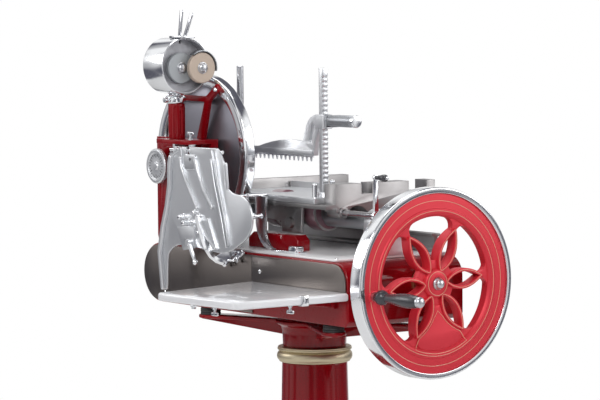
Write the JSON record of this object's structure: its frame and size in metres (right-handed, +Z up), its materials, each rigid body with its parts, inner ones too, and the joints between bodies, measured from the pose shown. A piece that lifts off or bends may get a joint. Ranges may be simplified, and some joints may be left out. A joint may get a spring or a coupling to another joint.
{
  "type": "hand crank meat slicer",
  "caption": "Hand cranked meat slicer on a cast pedestal: petal flywheel, geared round knife, sliding carriage and slice tray.",
  "frame": {"origin": "on the floor, on the axis of the pedestal's column, at the hub of its foot", "axes": "+X to the operator's right along the flywheel's plane, +Y away from the operator along the wheel's shaft, +Z up"},
  "size_m": [0.756, 1.0563, 1.5123],
  "materials": {
    "red_enamel": "deep gloss baked enamel",
    "polished_steel": "polished",
    "cast_aluminium": "satin polished casting",
    "dark_steel": "oiled steel",
    "chrome": "mirror plated",
    "gold": "polished and lacquered",
    "bronze": "machined bearing bronze",
    "black_grip": "turned and polished",
    "white_enamel": "gloss white enamel",
    "rubber": "matt",
    "grey_stone": "bonded abrasive stone",
    "tan_stone": "bonded abrasive stone"
  },
  "bodies": {
    "stand": {"pedestal_column": "red_enamel", "pedestal_ring": "gold", "pedestal_head": "red_enamel", "rubber_foot_1": "rubber", "rubber_foot_2": "rubber", "rubber_foot_3": "rubber", "rubber_foot_4": "rubber", "base_casting": "red_enamel", "front_side_plate": "polished_steel", "rear_side_plate": "polished_steel", "base_top_plate": "white_enamel", "front_bush": "bronze", "rear_bush": "bronze", "drive_chain": "dark_steel", "knife_guard": "chrome", "knife_frame": "red_enamel", "guard_fork": "red_enamel", "deflector_rod": "chrome", "sharpener_pillar": "red_enamel", "sharpener_collar": "chrome", "round_rail": "dark_steel", "flat_track": "cast_aluminium", "rail_support_front": "cast_aluminium", "rail_support_rear": "cast_aluminium", "guide_block": "red_enamel", "guard_strap": "chrome", "slice_tray": "white_enamel", "tray_bracket": "red_enamel"},
    "wheel": {"flywheel": "red_enamel", "wheel_shaft": "dark_steel", "dome_nut": "chrome", "handle_pin": "chrome", "bevel_gear": "dark_steel"},
    "grip": {"handle_grip": "black_grip"},
    "pinion_set": {"pinion_shaft": "dark_steel", "drive_sprocket": "dark_steel"},
    "knife_set": {"knife": "polished_steel", "knife_shaft": "dark_steel", "knife_nut": "chrome"},
    "deflector_plate": {"deflector": "cast_aluminium"},
    "deflector_screw": {"deflector_thumbscrew": "chrome"},
    "dial": {"thickness_dial": "cast_aluminium"},
    "sharpener_lift_post": {"sharpener_post": "polished_steel"},
    "sharpener_head": {"sharpener_drum": "chrome"},
    "grinding_wheel": {"grinding_stone": "grey_stone"},
    "truing_wheel": {"truing_stone": "tan_stone"},
    "front_lever": {"stone_lever_front": "polished_steel"},
    "rear_lever": {"stone_lever_rear": "polished_steel"},
    "meat_carriage": {"carriage": "cast_aluminium"},
    "roller": {"track_roller": "dark_steel"},
    "feed_handle": {"feed_crank": "chrome"},
    "feed_grip": {"feed_crank_grip": "black_grip"},
    "cross_screw": {"feed_screw": "dark_steel"},
    "table": {"meat_table": "cast_aluminium", "rack_post": "cast_aluminium", "rear_post": "polished_steel"},
    "press": {"press_arm": "cast_aluminium", "toothed_strip": "polished_steel"},
    "release_lever": {"clamp_lever": "dark_steel"},
    "tray_screw": {"tray_thumbscrew": "chrome"}
  },
  "joints": [
    {"name": "wheel_spin", "type": "hinge", "parent": "stand", "child": "wheel", "pos_m": [0.053, -0.395, 0.9], "axis": [0, 1, 0], "continuous": true},
    {"name": "grip_spin", "type": "hinge", "parent": "wheel", "child": "grip", "pos_m": [-0.12104, -0.395, 0.88171], "axis": [0, 1, 0], "continuous": true},
    {"name": "pinion_spin", "type": "hinge", "parent": "stand", "child": "pinion_set", "pos_m": [0.003, 0.274, 0.9], "axis": [1, 0, 0], "continuous": true},
    {"name": "knife_spin", "type": "hinge", "parent": "stand", "child": "knife_set", "pos_m": [-0.117, 0.274, 1.169], "axis": [1, 0, 0], "continuous": true},
    {"name": "deflector_swing", "type": "hinge", "parent": "stand", "child": "deflector_plate", "pos_m": [-0.2, 0.205, 1.184], "axis": [0, 1, 0], "range_deg": [0, 60]},
    {"name": "deflector_screw_turn", "type": "hinge", "parent": "stand", "child": "deflector_screw", "pos_m": [-0.2, 0.211, 1.215], "axis": [0, 0, 1], "range_deg": [-180, 180]},
    {"name": "dial_turn", "type": "hinge", "parent": "stand", "child": "dial", "pos_m": [-0.162, 0.405, 1.138], "axis": [1, 0, 0], "range_deg": [-150, 150]},
    {"name": "sharpener_lift", "type": "slide", "parent": "stand", "child": "sharpener_lift_post", "axis": [0, 0, 1], "range_m": [0, 0.05]},
    {"name": "sharpener_turn", "type": "hinge", "parent": "sharpener_lift_post", "child": "sharpener_head", "pos_m": [-0.187, 0.289, 1.31], "axis": [0, 0, 1], "range_deg": [-2, 3]},
    {"name": "grinding_stone_spin", "type": "hinge", "parent": "sharpener_head", "child": "grinding_wheel", "pos_m": [-0.208, 0.235, 1.376], "axis": [0, 1, 0], "continuous": true},
    {"name": "truing_stone_spin", "type": "hinge", "parent": "sharpener_head", "child": "truing_wheel", "pos_m": [-0.165, 0.217, 1.376], "axis": [0, 1, 0], "continuous": true},
    {"name": "front_lever_swing", "type": "hinge", "parent": "sharpener_head", "child": "front_lever", "pos_m": [-0.202, 0.229, 1.447], "axis": [1, 0, 0], "range_deg": [-8, 8]},
    {"name": "rear_lever_swing", "type": "hinge", "parent": "sharpener_head", "child": "rear_lever", "pos_m": [-0.202, 0.25, 1.447], "axis": [1, 0, 0], "range_deg": [-8, 8]},
    {"name": "carriage_travel", "type": "slide", "parent": "stand", "child": "meat_carriage", "axis": [0, 1, 0], "range_m": [0, 0.2]},
    {"name": "roller_spin", "type": "hinge", "parent": "meat_carriage", "child": "roller", "pos_m": [0.145, 0.125, 1.0183], "axis": [1, 0, 0], "range_deg": [-637.6, 0]},
    {"name": "feed_crank_turn", "type": "hinge", "parent": "meat_carriage", "child": "feed_handle", "pos_m": [-0.048, -0.303, 1.051], "axis": [0, 1, 0], "range_deg": [0, 4320]},
    {"name": "feed_grip_spin", "type": "hinge", "parent": "feed_handle", "child": "feed_grip", "pos_m": [-0.048, -0.327, 1.137], "axis": [0, 1, 0], "continuous": true},
    {"name": "feed_screw_turn", "type": "hinge", "parent": "meat_carriage", "child": "cross_screw", "pos_m": [0.153, 0.057, 1.051], "axis": [1, 0, 0], "range_deg": [0, 4320]},
    {"name": "table_feed", "type": "slide", "parent": "meat_carriage", "child": "table", "axis": [1, 0, 0], "range_m": [0, 0.12]},
    {"name": "press_lift", "type": "slide", "parent": "table", "child": "press", "axis": [0, 0, 1], "range_m": [-0.07, 0.1]},
    {"name": "clamp_release", "type": "hinge", "parent": "press", "child": "release_lever", "pos_m": [-0.047, -0.1171, 1.256], "axis": [1, 0, 0], "range_deg": [0, 12]},
    {"name": "tray_screw_turn", "type": "hinge", "parent": "stand", "child": "tray_screw", "pos_m": [-0.3833, -0.155, 0.855], "axis": [0, 0, 1], "range_deg": [-180, 180]}
  ],
  "couplings": [
    {"joint": "pinion_spin", "follows": "wheel_spin", "ratio": -3},
    {"joint": "knife_spin", "follows": "wheel_spin", "ratio": -4.5},
    {"joint": "roller_spin", "follows": "carriage_travel", "rad_per_m": -55.556},
    {"joint": "feed_screw_turn", "follows": "feed_crank_turn", "ratio": 1},
    {"joint": "table_feed", "follows": "feed_crank_turn", "m_per_rad": 0.0015915}
  ]
}
